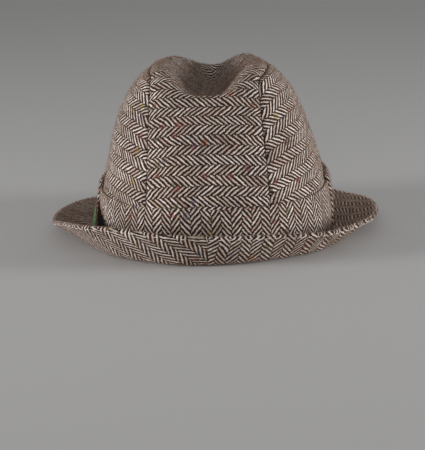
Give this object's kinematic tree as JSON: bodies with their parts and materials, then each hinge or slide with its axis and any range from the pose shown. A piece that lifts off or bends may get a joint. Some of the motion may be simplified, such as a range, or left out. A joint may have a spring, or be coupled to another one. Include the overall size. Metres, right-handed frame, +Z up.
{
  "type": "trilby hat",
  "caption": "Soft herringbone tweed trilby with a creased panelled crown, self-fabric band, small feather mount and a narrow brim turned up at the back.",
  "frame": {"origin": "middle of the footprint, on the surface that the hat rests on", "axes": "+Z up, the front of the hat faces -Y and the back +Y, and the wearer's left is +X"},
  "size_m": [0.2406, 0.2726, 0.1257],
  "materials": {
    "tweed_crown": "herringbone wool tweed, light and dark brown yarns with coloured flecks",
    "tweed_band": "the same tweed, herringbone upright",
    "tweed_brim": "the same tweed, stitched near the edge",
    "feather_black": "glossy black feather",
    "feather_green": "green feather",
    "feather_red": "red feather"
  },
  "bodies": {
    "root": {"crown_centre_panel": "tweed_crown", "crown_left_panel": "tweed_crown", "crown_right_panel": "tweed_crown", "band_back": "tweed_band", "band_front": "tweed_band", "brim_under": "tweed_brim", "brim_upper": "tweed_brim", "feather_black": "feather_black", "feather_green": "feather_green", "feather_red": "feather_red"}
  },
  "joints": []
}
